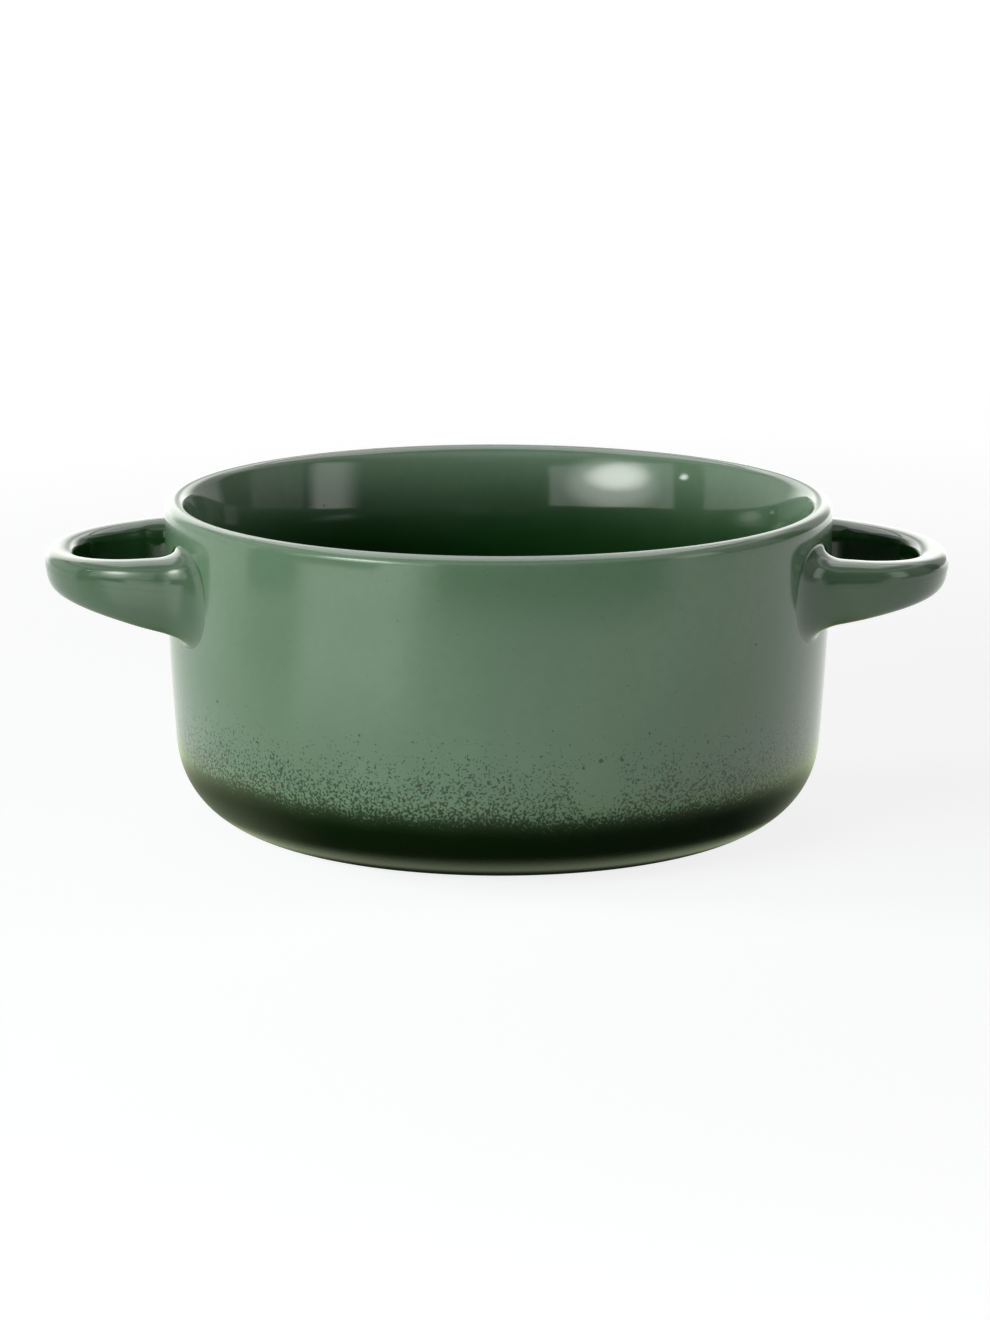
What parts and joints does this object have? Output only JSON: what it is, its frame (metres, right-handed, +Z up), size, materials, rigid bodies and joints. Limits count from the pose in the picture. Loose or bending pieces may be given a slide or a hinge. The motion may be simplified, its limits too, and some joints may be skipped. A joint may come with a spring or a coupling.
{
  "type": "handled soup bowl",
  "caption": "Round glazed stoneware soup bowl with a foot ring, near-upright wall, rounded lip and loop handles luted to opposite sides, for holding and carrying food.",
  "frame": {"origin": "centre of the plane that the foot ring rests on", "axes": "+Z up along the bowl's turning axis, +X towards the right handle, the picture is taken from -Y"},
  "size_m": [0.1872, 0.138, 0.07],
  "materials": {
    "glaze": "glossy sage-green glaze that darkens to near black-green at the base, with dark specks over the edge",
    "slip": "fired slip under the same glossy sage-green glaze"
  },
  "bodies": {
    "root": {"bowl_body": "glaze", "right_handle": "glaze", "left_handle": "glaze", "right_front_slip_joint": "slip", "right_rear_slip_joint": "slip", "left_front_slip_joint": "slip", "left_rear_slip_joint": "slip"}
  },
  "joints": []
}
